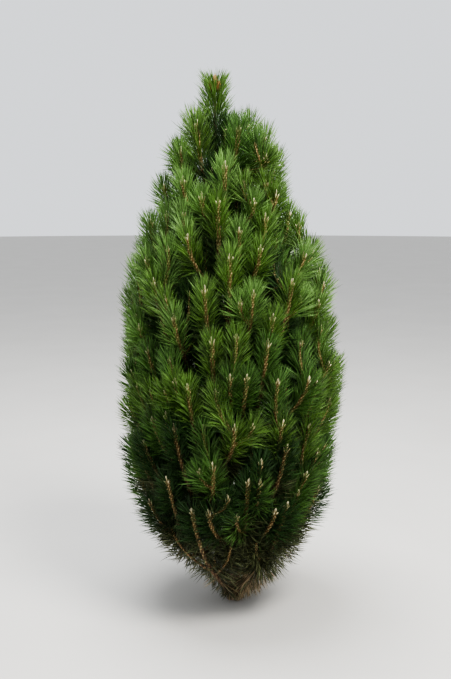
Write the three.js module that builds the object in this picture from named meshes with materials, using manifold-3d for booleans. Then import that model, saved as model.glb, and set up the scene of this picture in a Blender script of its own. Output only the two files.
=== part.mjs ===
// A young upright pine, rooted in the ground: a slightly leaning trunk, whorls of boughs that
// sweep out and turn up, and a mass of needled shoots at the end of each bough.
// Millimetres and degrees, +Z up. The origin is the middle of the flat cut at ground level,
// and the front of the plant faces -Y. Bearings turn from +X, so the front is at -90.

import * as THREE from "three";
import { mergeVertices } from "three/addons/utils/BufferGeometryUtils.js";
import Module from "manifold-3d";

const wasm = await Module();
wasm.setup();

// Trunk
const BUD_HEIGHT = 2212; // the foot of the leader's bud
const LEAN = 86; // how far the leader stands to the left of the foot, bowing upright
const TRUNK_RADIUS = 27; // just above the root flare
const TRUNK_TIP_RADIUS = 5;
const TRUNK_TAPER = 0.9; // nearly an even taper
const TRUNK_SIDES = 12;
const TRUNK_RINGS = 18;
const RING_CROWDING = 1.6; // the rings stand closer towards the flare
const FLARE = 15; // how far the root flare stands out at the ground
const FLARE_HEIGHT = 55;
const ROOTS = 5; // ridges round the flare
const ROOT_RIDGE = 0.28; // how much of the flare they make
const SWAY = 7; // the trunk's slow bend to the back and to the front
const LEADER_BUD = { length: 30, radius: 8.5, fullest: 0.35, waist: 0.8 };
const LEADER_SHARES = [0.865, 0.9, 0.95, 1]; // of the trunk, where the leader's needles stand
const LEADER_SLEEVE = { foot: 14, bud: 11 };

// Crown: how far the needle tips stand from the trunk's line to the left and to the right of
// the front, by height. In between, the reach turns smoothly from one to the other.
const CROWN = [
  { height: 0, left: 110, right: 110 },
  { height: 250, left: 315, right: 300 },
  { height: 480, left: 450, right: 435 },
  { height: 700, left: 475, right: 500 },
  { height: 1050, left: 460, right: 540 },
  { height: 1500, left: 405, right: 490 },
  { height: 1760, left: 305, right: 355 },
  { height: 2020, left: 190, right: 280 },
  { height: 2180, left: 90, right: 80 },
  { height: 2300, left: 50, right: 55 },
];

// Whorls, from the ground up: the height where the boughs leave the trunk, the share of each
// bough that has lost its needles, how many side shoots it bears, and the bearing and the
// height of each bough's bud. A bough with no bare share is needled right from the trunk.
const WHORLS = [
  {
    at: 50,
    bare: 0,
    sides: 2,
    buds: [[-112, 530], [-52, 535], [45, 545], [150, 550]],
  },
  {
    at: 120,
    bare: 0.28,
    sides: 2,
    buds: [[-152, 750], [-78, 668], [-30, 735], [35, 690], [108, 700]],
  },
  {
    at: 250,
    bare: 0.3,
    sides: 2,
    buds: [[-118, 880], [-56, 790], [2, 860], [80, 870], [160, 855]],
  },
  {
    at: 420,
    bare: 0.28,
    sides: 2,
    buds: [[-148, 1015], [-108, 1050], [-36, 1030], [45, 1040], [122, 1035]],
  },
  {
    at: 620,
    bare: 0,
    sides: 2,
    buds: [[-137, 1165], [-94, 1230], [-65, 1212], [0, 1225], [72, 1200], [145, 1240]],
  },
  {
    at: 860,
    bare: 0,
    sides: 2,
    buds: [[-134, 1440], [-82, 1545], [-46, 1445], [40, 1470], [125, 1430]],
  },
  {
    at: 1160,
    bare: 0,
    sides: 2,
    buds: [[-172, 1665], [-88, 1755], [-52, 1690], [15, 1700], [105, 1720]],
  },
  {
    at: 1460,
    bare: 0,
    sides: 2,
    buds: [[-150, 1955], [-80, 1890], [-4, 1925], [95, 1900]],
  },
  {
    at: 1760,
    bare: 0,
    sides: 1,
    buds: [[-130, 2060], [-56, 2042], [65, 2060]],
  },
];

// Boughs and side shoots
const STAGGER = 15; // neighbours in a whorl leave the trunk this much above or below its height
const BOUGH_SHARE = 0.38; // a bough's radius against the trunk's, where it leaves it
const BOUGH_TAPER = 0.8; // its radius where needles begin against that at the trunk
const BOUGH_SIDES = 6;
const BOUGH_STEP = 45;
const SPREAD = { low: 62, high: 36 }; // from the upright, where a bough leaves the trunk
const TIP_LEAN = 27; // from the upright, at a bud near the ground, and none at the top
const SWEEP = { start: 0.35, end: 0.4 }; // the share of a limb's span that each end's run takes

// Side shoots: where each leaves its bough, on which side its bud stands, and how far below
// its bough's
const SIDES = [
  { node: 0.42, hand: 1, drop: 120 },
  { node: 0.42, hand: -1, drop: 145 },
];
const SIDE_BEARING = { most: 24, share: 0.34 }; // of the gap to the next bough, at the most
const SIDE_ANGLE = 42; // between the side shoot and its bough, where it leaves
const SIDE_SWINGS = [1, 0.75, 1.25, 0.5]; // the shares of its bearing that it tries
const SIDE_ROOM = 27; // between its line and those of other boughs
const UNEVEN = { at: 5, node: 0.03, bearing: 3, bud: 20 }; // how much chance shifts each of these

// Needled shoots
const NEEDLE = 96;
const SHORTEST_NEEDLE = 0.86; // as a share of that
const NEEDLE_REACH = 68; // how far the needles stand out sideways from a shoot
const SHOOT_STEP = 27; // along the shoot, from one needle to the next
const CROWDING = 0.45; // how much the needles close up towards the bud
const SHOOT_SIDES = 3;
const SHOOT_RADIUS = { foot: 8.5, bud: 5.5 };
const SHOOT_BUD = 20;
const TURN_PER_ROW = -17.5; // with a third of a turn, the golden angle between needles
const NEEDLE_ANGLE = { tip: 16, young: 44, old: 68 }; // between a needle and its shoot
const OLD_SHARE = 0.45; // of a bough, where its needles have aged
const TIP_TUFT = 70; // the last stretch below the bud, where needles close up
const BARE_ROWS = 2; // at the foot of each shoot
const SHORTENING = [1, 0.8, 0.6, 0.45]; // what is tried for a needle that wants room
const MEASURED_AT = [0.45, 0.7, 1]; // the shares of a needle's length where room is measured

const CLEARANCE = 0.3; // between neighbouring solids
const GROUND_CLEARANCE = 4; // under the lowest needles
const LIMB_MARGIN = 7; // between a needle and a limb's bark
const ROOM_MARGIN = { root: 8, tip: 2 }; // between a needle and the edge of its mass's space
const SAMPLE_STEP = 12; // between the points that stand for a limb when room is measured
const FRAMES = 200; // along each line
const MERGED = 1e-3; // points nearer than this are one

const rad = THREE.MathUtils.degToRad;
const lerp = THREE.MathUtils.lerp;
const UP = new THREE.Vector3(0, 0, 1);

// The same numbers from 0 to 1 each time, so that the plant always grows alike
function seeded(seed) {
  let state = seed;
  return () => (state = (state * 16807) % 2147483647) / 2147483647;
}

const growthDraw = seeded(4021);
const wobble = (size) => size * (2 * growthDraw() - 1);

function outward(bearing) {
  return new THREE.Vector3(Math.cos(rad(bearing)), Math.sin(rad(bearing)), 0);
}

function trunkPoint(z) {
  const share = z / BUD_HEIGHT;
  const left = LEAN * Math.sin((share * Math.PI) / 2);
  return new THREE.Vector3(-left, SWAY * Math.sin(share * 2 * Math.PI), z);
}

function trunkRadius(z) {
  const above = Math.max(0, 1 - z / BUD_HEIGHT);
  return lerp(TRUNK_TIP_RADIUS, TRUNK_RADIUS, above ** TRUNK_TAPER);
}

function crownReach(z, bearing) {
  const above = Math.max(1, CROWN.findIndex((station) => station.height >= z));
  const [low, high] = [CROWN[above - 1], CROWN[above]];
  const share = (z - low.height) / (high.height - low.height);
  const toRight = (1 + Math.cos(rad(bearing))) / 2;
  const reachOf = ({ left, right }) => lerp(left, right, toRight);
  return lerp(reachOf(low), reachOf(high), share);
}

// A bud's place: on a bearing and at a height, inside the crown's outline by its needles' reach
function budPlace(bearing, height) {
  const out = Math.max(0, crownReach(height, bearing) - NEEDLE_REACH);
  return trunkPoint(height).addScaledVector(outward(bearing), out);
}

// The line of a bough or side shoot: it sets off along heading, and arrives at its bud
// nearly upright, leaning out by less the higher it is
function limbLine(start, heading, bearing, height) {
  const bud = budPlace(bearing, height);
  const lean = rad(TIP_LEAN * (1 - height / BUD_HEIGHT));
  const arrival = outward(bearing).multiplyScalar(Math.sin(lean));
  arrival.addScaledVector(UP, Math.cos(lean));
  const span = start.distanceTo(bud);
  return new THREE.CubicBezierCurve3(
    start,
    start.clone().addScaledVector(heading, SWEEP.start * span),
    bud.clone().addScaledVector(arrival, -SWEEP.end * span),
    bud,
  );
}

// The angle from one bearing of a whorl to the next, on the side that hand tells
function gapBeside(bearings, index, hand) {
  const next = bearings[(index + hand + bearings.length) % bearings.length];
  return THREE.MathUtils.euclideanModulo(hand * (next - bearings[index]), 360);
}

// Points along a line, about SAMPLE_STEP apart, which stand for it when room is measured
function pointsOn(line, from, to) {
  const count = Math.ceil(((to - from) * line.getLength()) / SAMPLE_STEP);
  return Array.from({ length: count + 1 }, (_, i) => line.getPointAt(lerp(from, to, i / count)));
}

function nearest(points, place) {
  return points.reduce((least, point) => Math.min(least, point.distanceTo(place)), Infinity);
}

// A side shoot swings its bud round from its bough's by the first share that keeps it clear
// of the other boughs and their side shoots. Where none does, it doesn't grow.
function growSide(bough, { node, drop }, hand, gap, others) {
  const at = node + wobble(UNEVEN.node);
  const apart = Math.min(SIDE_BEARING.most, SIDE_BEARING.share * gap);
  const swing = hand * (apart + wobble(UNEVEN.bearing));
  const height = bough.bud - drop + wobble(UNEVEN.bud);
  const heading = bough.line.getTangentAt(at).multiplyScalar(Math.cos(rad(SIDE_ANGLE)));
  const across = outward(bough.bearing + 90 * hand);
  heading.addScaledVector(across, Math.sin(rad(SIDE_ANGLE)));
  const start = bough.line.getPointAt(at);
  for (const share of SIDE_SWINGS) {
    const line = limbLine(start, heading, bough.bearing + share * swing, height);
    if (pointsOn(line, 0, 1).every((place) => nearest(others, place) > SIDE_ROOM)) {
      bough.sides.push(line);
      return;
    }
  }
}

function growBough(whorl, level, [bearing, bud], index) {
  const at = whorl.at + (index % 2 ? STAGGER : -STAGGER) + wobble(UNEVEN.at);
  const spread = rad(lerp(SPREAD.low, SPREAD.high, at / BUD_HEIGHT));
  const heading = outward(bearing).multiplyScalar(Math.sin(spread));
  heading.addScaledVector(UP, Math.cos(spread));
  const name = `whorl${level + 1}_${index + 1}`;
  const line = limbLine(trunkPoint(at), heading, bearing, bud);
  return { name, bearing, bud, at, line, bare: whorl.bare, sides: [] };
}

function pointsOfOthers(boughs, bough) {
  const lines = boughs.flatMap((other) => (other === bough ? [] : [other.line, ...other.sides]));
  return lines.flatMap((line) => pointsOn(line, 0, 1));
}

// Every bough of every whorl, and then the side shoots, in the same order
function growCrown() {
  const whorls = WHORLS.map((whorl, level) =>
    whorl.buds.map((bud, index) => growBough(whorl, level, bud, index)),
  );
  const boughs = whorls.flat();
  whorls.forEach((whorl, level) => {
    const bearings = whorl.map((bough) => bough.bearing);
    whorl.forEach((bough, index) => {
      const turned = (level + index) % 2 ? 1 : -1;
      for (const side of SIDES.slice(0, WHORLS[level].sides)) {
        const hand = side.hand * turned;
        const gap = gapBeside(bearings, index, hand);
        growSide(bough, side, hand, gap, pointsOfOthers(boughs, bough));
      }
    });
  });
  return boughs;
}

// A closed tube whose points go where place(column, row) says, with the middles of its two
// ends where middle(row) says. Columns turn anticlockwise as the rows rise towards the viewer.
function tube(sides, rows, place, middle) {
  const geometry = new THREE.CylinderGeometry(1, 1, 1, sides, rows);
  geometry.deleteAttribute("normal");
  geometry.deleteAttribute("uv");
  const points = geometry.getAttribute("position");
  for (let i = 0; i < points.count; i++) {
    const [x, y, z] = [points.getX(i), points.getY(i), points.getZ(i)];
    const row = Math.round((y + 0.5) * rows);
    const turn = Math.round((Math.atan2(x, z) * sides) / (2 * Math.PI));
    const column = (turn + sides) % sides;
    const point = Math.hypot(x, z) < 0.5 ? middle(row) : place(column, row);
    points.setXYZ(i, point.x, point.y, point.z);
  }
  return mergeVertices(geometry, MERGED);
}

function solid(geometry) {
  const vertProperties = geometry.getAttribute("position").array;
  const triVerts = new Uint32Array(geometry.index.array);
  return new wasm.Manifold(new wasm.Mesh({ numProp: 3, vertProperties, triVerts }));
}

// The largest piece of a solid: loose scraps are dropped, and sealed hollows filled
function wholeOf(made) {
  const pieces = made.decompose().sort((a, b) => b.volume() - a.volume());
  return pieces[0];
}

function geometryOf(made) {
  const mesh = made.getMesh();
  const geometry = new THREE.BufferGeometry();
  geometry.setAttribute("position", new THREE.BufferAttribute(mesh.vertProperties, 3));
  geometry.setIndex(new THREE.BufferAttribute(mesh.triVerts, 1));
  geometry.computeVertexNormals();
  return geometry;
}

// The trunk's rings crowd towards the flare. Above them two rings shape the leader's bud.
// grow swells the whole trunk, to make the room that its neighbours leave round it.
function trunkTube(grow) {
  const rings = [];
  for (let i = 0; i <= TRUNK_RINGS; i++) {
    const z = BUD_HEIGHT * (i / TRUNK_RINGS) ** RING_CROWDING;
    rings.push({ z, radius: trunkRadius(z) });
  }
  const { length, radius: fullest } = LEADER_BUD;
  rings.push({ z: BUD_HEIGHT + LEADER_BUD.fullest * length, radius: fullest });
  rings.push({ z: BUD_HEIGHT + LEADER_BUD.waist * length, radius: fullest / 2 });
  const place = (column, row) => {
    const { z, radius } = rings[row];
    const turn = (2 * Math.PI * column) / TRUNK_SIDES;
    const ridges = 1 - ROOT_RIDGE + ROOT_RIDGE * Math.cos(ROOTS * turn);
    const flare = FLARE * ridges * Math.exp(-z / FLARE_HEIGHT);
    const out = radius + flare + grow;
    return trunkPoint(z).add(new THREE.Vector3(Math.cos(turn) * out, Math.sin(turn) * out, 0));
  };
  const middle = (row) => trunkPoint(row ? BUD_HEIGHT + LEADER_BUD.length + grow : 0);
  return tube(TRUNK_SIDES, rings.length - 1, place, middle);
}

// Points, directions across and directions along, at each share of a line's length
function framesAlong(line, shares) {
  const { normals, binormals, tangents } = line.computeFrenetFrames(FRAMES);
  return shares.map((share) => {
    const i = Math.round(share * FRAMES);
    return { at: line.getPointAt(share), n: normals[i], b: binormals[i], t: tangents[i] };
  });
}

function around(frame, turn) {
  return frame.n.clone().multiplyScalar(Math.cos(turn)).addScaledVector(frame.b, Math.sin(turn));
}

// A bare bough, from inside the trunk to where its needles begin
function boughTube(bough) {
  const foot = BOUGH_SHARE * trunkRadius(bough.at);
  const steps = Math.round((bough.bare * bough.line.getLength()) / BOUGH_STEP);
  const shares = Array.from({ length: steps + 1 }, (_, i) => (bough.bare * i) / steps);
  const frames = framesAlong(bough.line, shares);
  const place = (column, row) => {
    const radius = foot * lerp(1, BOUGH_TAPER, row / steps);
    const turn = (2 * Math.PI * column) / BOUGH_SIDES;
    return frames[row].at.clone().addScaledVector(around(frames[row], turn), radius);
  };
  return tube(BOUGH_SIDES, steps, place, (row) => frames[row].at);
}

const needleDraw = seeded(977);

// How far a needle leans from its shoot, by its distance below the bud and the wood's age
function needleAngle(below, old) {
  if (old) return rad(NEEDLE_ANGLE.old);
  const share = Math.min(1, below / TIP_TUFT);
  return rad(lerp(NEEDLE_ANGLE.tip, NEEDLE_ANGLE.young, share));
}

// A needled shoot along a line: a slim core, with every third point of its lattice drawn out
// into a needle. No two of those are neighbours, so each needle has its own six faces.
// fits(root, tip) gives the share of a needle that keeps to the shoot's own space, or 0.
function shootTube({ line, from, oldUntil, sides, radius, fits, bud }) {
  const length = (1 - from) * line.getLength();
  const rows = Math.round(length / SHOOT_STEP);
  const shareOf = (row) => lerp(from, 1, (row / rows) * (1 + CROWDING * (1 - row / rows)));
  const frames = framesAlong(line, Array.from({ length: rows + 1 }, (_, row) => shareOf(row)));
  const points = frames.map((frame, row) =>
    Array.from({ length: sides }, (_, column) => {
      const turn = (2 * Math.PI * column) / sides + rad(TURN_PER_ROW) * row;
      const out = around(frame, turn);
      const core = lerp(radius.foot, radius.bud, row / rows);
      const point = frame.at.clone().addScaledVector(out, core);
      const drawnOut = (column + row) % 3 === 0;
      if (!drawnOut || row < BARE_ROWS || row === rows) return point;
      const share = shareOf(row);
      const angle = needleAngle((1 - share) * line.getLength(), share < oldUntil);
      const way = out.clone().multiplyScalar(Math.sin(angle));
      way.addScaledVector(frame.t, Math.cos(angle));
      const full = NEEDLE * lerp(SHORTEST_NEEDLE, 1, needleDraw());
      const kept = fits(frame.at, frame.at.clone().addScaledVector(way, full));
      return kept ? frame.at.clone().addScaledVector(way, full * kept) : point;
    }),
  );
  const middle = (row) => {
    if (row === 0) return frames[0].at;
    return frames[rows].at.clone().addScaledVector(frames[rows].t, bud);
  };
  return tube(sides, rows, (column, row) => points[row][column], middle);
}

// A mass keeps to the points that are nearer to its own shoots than to any other's, clear of
// the limbs and of the ground. A needle that leaves them is shortened, or else left out.
function roomFor(own, others, limbs) {
  const clearAt = (root, tip, share) => {
    const point = root.clone().lerp(tip, share);
    const margin = lerp(ROOM_MARGIN.root, ROOM_MARGIN.tip, share);
    return (
      point.z > GROUND_CLEARANCE + 2 * margin * (1 - share) &&
      limbs.every(({ at, radius }) => at.distanceTo(point) > radius + LIMB_MARGIN * share) &&
      nearest(others, point) - nearest(own, point) > 2 * margin
    );
  };
  return (root, tip) => {
    const kept = SHORTENING.find((share) => {
      const end = root.clone().lerp(tip, share);
      return MEASURED_AT.every((along) => clearAt(root, end, along));
    });
    return kept ?? 0;
  };
}

// Build the plant

const bark = new THREE.MeshStandardMaterial({ color: 0x5d4a3a, roughness: 0.9 });
const boughBark = new THREE.MeshStandardMaterial({ color: 0x75553c, roughness: 0.85 });
const needleGreen = new THREE.MeshStandardMaterial({ color: 0x3f6b2c, roughness: 0.6 });
const leaderGreen = new THREE.MeshStandardMaterial({ color: 0x567f36, roughness: 0.6 });

const plant = new THREE.Group();
plant.name = "pine_tree";

function addMesh(name, geometry, material) {
  const mesh = new THREE.Mesh(geometry, material);
  mesh.name = name;
  plant.add(mesh);
}

const boughs = growCrown();
const barkedBoughs = boughs.filter((bough) => bough.bare);
const trunkRoom = solid(trunkTube(CLEARANCE));
const leaderLine = new THREE.CatmullRomCurve3(
  LEADER_SHARES.map((share) => trunkPoint(BUD_HEIGHT * share)),
);

const trunkPoints = Array.from({ length: Math.ceil(BUD_HEIGHT / SAMPLE_STEP) }, (_, i) => ({
  at: trunkPoint(i * SAMPLE_STEP),
  radius: trunkRadius(i * SAMPLE_STEP),
}));
const limbPoints = barkedBoughs.reduce((points, { line, at, bare }) => {
  const radius = BOUGH_SHARE * trunkRadius(at);
  return points.concat(pointsOn(line, 0, bare).map((place) => ({ at: place, radius })));
}, trunkPoints);

const masses = boughs.map((bough) => ({
  name: `foliage_${bough.name}`,
  bough,
  points: [
    ...pointsOn(bough.line, bough.bare, 1),
    ...bough.sides.flatMap((side) => pointsOn(side, 0, 1)),
  ],
}));
masses.push({ name: "foliage_leader", points: pointsOn(leaderLine, 0, 1) });

// The leader's mass sits on the trunk, so the limbs that it keeps clear of are those below it
function spaceOf(mass) {
  const others = masses.filter((other) => other !== mass).flatMap((other) => other.points);
  const top = mass.bough ? Infinity : leaderLine.points[0].z;
  return roomFor(mass.points, others, limbPoints.filter(({ at }) => at.z < top));
}

function boughFoliage(mass) {
  const { line, sides, bare } = mass.bough;
  const fits = spaceOf(mass);
  const gap = CLEARANCE / line.getLength();
  const common = { sides: SHOOT_SIDES, radius: SHOOT_RADIUS, fits, bud: SHOOT_BUD };
  const from = bare ? bare + gap : 0;
  let made = solid(shootTube({ ...common, line, from, oldUntil: OLD_SHARE }));
  for (const side of sides) {
    made = made.add(solid(shootTube({ ...common, line: side, from: 0, oldUntil: 0 })));
  }
  return wholeOf(bare ? made : made.subtract(trunkRoom));
}

function leaderFoliage(mass) {
  const sleeve = shootTube({
    line: leaderLine,
    from: 0,
    oldUntil: 0,
    sides: 2 * SHOOT_SIDES,
    radius: LEADER_SLEEVE,
    fits: spaceOf(mass),
    bud: -2,
  });
  return wholeOf(solid(sleeve).subtract(trunkRoom));
}

addMesh("trunk", trunkTube(0), bark);
for (const bough of barkedBoughs) {
  const made = wholeOf(solid(boughTube(bough)).subtract(trunkRoom));
  addMesh(`bough_${bough.name}`, geometryOf(made), boughBark);
}
for (const mass of masses) {
  const leader = !mass.bough;
  const made = leader ? leaderFoliage(mass) : boughFoliage(mass);
  addMesh(mass.name, geometryOf(made), leader ? leaderGreen : needleGreen);
}

export default plant;
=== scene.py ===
"""A young upright pine: its trunk and boughs in bark, and its shoots with twigs, buds and needles.

The boughs and side shoots grow by the same rule as the part's solids, from the same sizes, and
finer shoots grow on from them inside the same reach. Metres and degrees, +Z up, the front at
-Y, and bearings turn from +X. A run is a distance along a limb, back from its bud, and a share
of a limb is measured from its foot.
"""

import math
from collections import namedtuple

import bpy
import numpy as np
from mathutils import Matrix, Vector


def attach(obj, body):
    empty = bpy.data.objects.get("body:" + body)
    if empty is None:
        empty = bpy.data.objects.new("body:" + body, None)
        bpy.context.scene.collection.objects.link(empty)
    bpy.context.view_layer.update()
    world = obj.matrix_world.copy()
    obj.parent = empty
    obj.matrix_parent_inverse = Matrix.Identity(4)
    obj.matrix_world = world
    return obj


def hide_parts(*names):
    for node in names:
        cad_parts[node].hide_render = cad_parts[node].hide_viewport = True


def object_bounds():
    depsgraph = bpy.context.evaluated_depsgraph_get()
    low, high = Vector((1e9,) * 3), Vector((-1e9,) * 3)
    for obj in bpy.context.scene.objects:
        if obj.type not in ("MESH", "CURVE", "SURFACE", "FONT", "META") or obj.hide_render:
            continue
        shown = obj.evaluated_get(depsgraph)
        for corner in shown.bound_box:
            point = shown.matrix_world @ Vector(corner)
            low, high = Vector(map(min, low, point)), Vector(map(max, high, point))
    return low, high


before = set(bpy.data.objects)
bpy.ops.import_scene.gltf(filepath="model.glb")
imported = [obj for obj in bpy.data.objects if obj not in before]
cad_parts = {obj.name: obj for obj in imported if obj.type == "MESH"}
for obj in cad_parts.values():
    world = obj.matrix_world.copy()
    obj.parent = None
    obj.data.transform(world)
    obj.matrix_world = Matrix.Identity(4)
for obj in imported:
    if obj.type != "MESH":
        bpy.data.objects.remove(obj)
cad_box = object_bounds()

# Trunk
BUD_HEIGHT = 2.212
LEAN = 0.086
SWAY = 0.007
TRUNK_RADIUS = 0.027
TRUNK_TIP_RADIUS = 0.005
TRUNK_TAPER = 0.9
FLARE = 0.015
FLARE_HEIGHT = 0.055
ROOTS = 5
ROOT_RIDGE = 0.28
LEADER_FOOT = 0.865  # of the trunk, where the leader's needles begin

# Crown: how far the needle tips stand from the trunk's line, by height: left and right
CROWN = np.array([
    (0.00, 0.110, 0.110),
    (0.25, 0.315, 0.300),
    (0.48, 0.450, 0.435),
    (0.70, 0.475, 0.500),
    (1.05, 0.460, 0.540),
    (1.50, 0.405, 0.490),
    (1.76, 0.305, 0.355),
    (2.02, 0.190, 0.280),
    (2.18, 0.090, 0.080),
    (2.30, 0.050, 0.055),
])

# Ranks of limbs: boughs, their side shoots, the finer shoots on the crown's outside and those
# inside it, and the leader
BOUGH, SIDE, OUTER, INNER, LEADER = range(5)

# Whorls from the ground up: the height on the trunk, the bare share of each bough, how many
# side shoots it bears, and the bearing and height of each bough's bud
Whorl = namedtuple("Whorl", "at bare sides buds")
WHORLS = [
    Whorl(0.050, 0.00, 2, [(-112, 0.530), (-52, 0.535), (45, 0.545), (150, 0.550)]),
    Whorl(0.120, 0.28, 2, [(-152, 0.750), (-78, 0.668), (-30, 0.735), (35, 0.690), (108, 0.700)]),
    Whorl(0.250, 0.30, 2, [(-118, 0.880), (-56, 0.790), (2, 0.860), (80, 0.870), (160, 0.855)]),
    Whorl(0.420, 0.28, 2, [(-148, 1.015), (-108, 1.050), (-36, 1.030), (45, 1.040), (122, 1.035)]),
    Whorl(0.620, 0.00, 2, [(-137, 1.165), (-94, 1.230), (-65, 1.212),
                           (0, 1.225), (72, 1.200), (145, 1.240)]),
    Whorl(0.860, 0.00, 2, [(-134, 1.440), (-82, 1.545), (-46, 1.445), (40, 1.470), (125, 1.430)]),
    Whorl(1.160, 0.00, 2, [(-172, 1.665), (-88, 1.755), (-52, 1.690), (15, 1.700), (105, 1.720)]),
    Whorl(1.460, 0.00, 2, [(-150, 1.955), (-80, 1.890), (-4, 1.925), (95, 1.900)]),
    Whorl(1.760, 0.00, 1, [(-130, 2.060), (-56, 2.042), (65, 2.060)]),
]

# Boughs and side shoots
STAGGER = 0.015  # up or down, from one bough of a whorl to the next
BOUGH_SHARE = 0.38  # of the trunk's radius, where a bough leaves it
BOUGH_TAPER = 0.8
SPREAD = (62, 36)  # from the upright, for a bough at the ground and at the top
TIP_LEAN = 27  # from the upright, of a bud at the ground
SWEEP = (0.35, 0.4)  # of a limb's span, from its ends to its curve's inner corners
NEEDLE_REACH = 0.068  # from a bud out to the needle tips round it
SIDES = [(0.42, 1, 0.120), (0.42, -1, 0.145)]  # share of the bough, hand, bud's drop
SIDE_BEARING_MOST = 24  # from the bough's bearing to its side shoot's
SIDE_BEARING_SHARE = 0.34  # of the turn to the next bough, where that is less
SIDE_SWINGS = [1, 0.75, 1.25, 0.5]  # shares of it, tried one after another
SIDE_ANGLE = 42  # between a shoot and its bearer
SIDE_ROOM = 0.027
SIDE_FOOT = 0.0052  # radius where a side shoot leaves its bough
UNEVEN_AT = 0.005
UNEVEN_NODE = 0.03
UNEVEN_BEARING = 3
UNEVEN_BUD = 0.020
SAMPLE_STEP = 0.012  # between the points of a line that are tried for room

# Finer shoots, layer by layer from the outside in: how far in from the crown's reach their buds
# stand, and the room that each bud keeps from the rest
Layer = namedtuple("Layer", "inward deepest room draws rank")
LAYERS = [
    Layer(-0.026, 0.030, 0.100, 6000, OUTER),
    Layer(0.075, 0.120, 0.096, 5000, INNER),
    Layer(0.170, 0.230, 0.130, 3000, INNER),
]
LOWEST_BUD = 0.26
HIGHEST_BUD = 2.07
TOP_ROOM = ([1.70, 2.00], [1.0, 1.1])  # heights, and how many times the room is taken there
RISE_COUNTS = 0.6  # times a way sideways, so that buds stand further apart upwards
FINER_NODES = np.linspace(0.25, 0.92, 18)  # of a limb, where finer shoots may leave it
FINER_RISE = (0.08, 0.34)  # from a finer shoot's node to its bud
FINER_SLANT = 0.70  # of its rise, how far it may go sideways
FINER_FOOT = 0.0042
SIDEWAYS_COST = 2  # a way sideways counts as this many times a rise, in finding the node

# Finer shoots that stand out at the front: the bearing and height of each bud
FRONT_BUDS = [
    (-158, 2.070), (-22, 2.010), (-41, 1.981), (-64, 1.823), (-40, 1.828), (-118, 1.711),
    (-10, 1.655), (-126, 1.576), (-78, 1.376), (-41, 1.382), (-124, 1.385), (-150, 1.248),
    (-24, 1.247), (-119, 1.151), (-61, 1.072), (-93, 1.037), (-134, 1.014), (-75, 0.900),
    (-71, 0.749), (-104, 0.713), (-90, 0.600), (-85, 0.520), (-81, 1.250),
]
FRONT_ROOM = 0.050
FRONT_SLANT = 1.1

# Needles, by their run below the bud: the zones of each year's growth, the older ones sagging
Zone = namedtuple("Zone", "name near far per_metre sag")
ZONES = [
    Zone("fresh", 0.000, 0.165, 1580, 0.0),
    Zone("grown", 0.165, 0.340, 1080, 0.05),
    Zone("old", 0.340, 0.760, 1150, 0.22),
]
CROWDING = (1.15, 1.1, 1.0, 0.75, 1.85)  # of the needles, by a limb's rank
LEADER_GATHER = 1.25  # the power that gathers the leader's needles towards its bud
FOOT_GAP = 0.012  # bare wood at a limb's foot
NEEDLE = 0.107
LENGTH_BY_RUN = ([0, 0.05, 0.2, 0.6], [0.88, 1.0, 1.02, 0.92])
LENGTH_BY_BUD = ([1.85, 2.10], [1.0, 1.14])  # longer near the top, by the height of the bud
NEEDLE_RADIUS = 0.00155
NEEDLE_WIDEST_AT = 0.64  # of its length
NEEDLE_BEND = 0.022  # of its length
NEEDLE_SEAT = 0.0022  # from the shoot's line to a needle's root
ANGLE_BY_RUN = ([0, 0.02, 0.06, 0.165, 0.34, 0.64], [16, 25, 33, 43, 63, 86])  # from the shoot
WIDER_BY_BUD = ([0.45, 0.80], [1.5, 1.0])  # near the ground, by the height of the bud
WIDEST = 100
LEADER_LEAST = 34  # the leader's needles lean out by at least this, so that its top is flat
GOLDEN_TURN = 137.508
PAIR_TURN = 0.09  # radians from a pair's middle to each of its needles
LOW_SAG = 2.0  # of needles past their first year at the ground
LOW_SAG_FALL = 5.5  # how much less they sag for each metre up
LOW_SAG_MOST = 1.8
UNEVEN_TURN = 12
UNEVEN_PAIR = 0.04  # radians
UNEVEN_ANGLE = 7.5
UNEVEN_SAG = (0.4, 1.4)
UNEVEN_LENGTH = (0.88, 1.06)

GROWTH_SEED = 4021
FINE_SEED = 1127
DRAW_FACTOR = 16807
DRAW_MODULUS = 2147483647

rng = np.random.default_rng(FINE_SEED)


# Growth


def seeded(seed):
    """Draws from 0 to 1, the same each time: every state is the last one times DRAW_FACTOR,
    less all whole multiples of DRAW_MODULUS."""
    state = seed

    def draw():
        nonlocal state
        state = state * DRAW_FACTOR % DRAW_MODULUS
        return state / DRAW_MODULUS

    return draw


growth_draw = seeded(GROWTH_SEED)


def wobble(size):
    return size * (2 * growth_draw() - 1)


def lerp(start, end, share):
    return start + (end - start) * share


def unit(ways):
    return ways / np.linalg.norm(ways, axis=-1, keepdims=True)


def outward(bearing):
    turn = math.radians(bearing)
    return np.array([math.cos(turn), math.sin(turn), 0.0])


def trunk_point(z):
    """The trunk's line leans left by a quarter sine of its height, and sways by a full one."""
    z = np.asarray(z, float)
    share = z / BUD_HEIGHT
    return np.stack([-LEAN * np.sin(share * np.pi / 2), SWAY * np.sin(share * 2 * np.pi), z], -1)


def trunk_radius(z):
    """The trunk thins by a power of the share of it that is still above."""
    above = np.maximum(0, 1 - np.asarray(z, float) / BUD_HEIGHT)
    return lerp(TRUNK_TIP_RADIUS, TRUNK_RADIUS, above**TRUNK_TAPER)


def crown_reach(z, bearing):
    """The crown's left and right reach at a height, mixed by the cosine of the bearing."""
    heights, left, right = CROWN.T
    to_right = (1 + math.cos(math.radians(bearing))) / 2
    return np.interp(z, heights, lerp(left, right, to_right))


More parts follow.
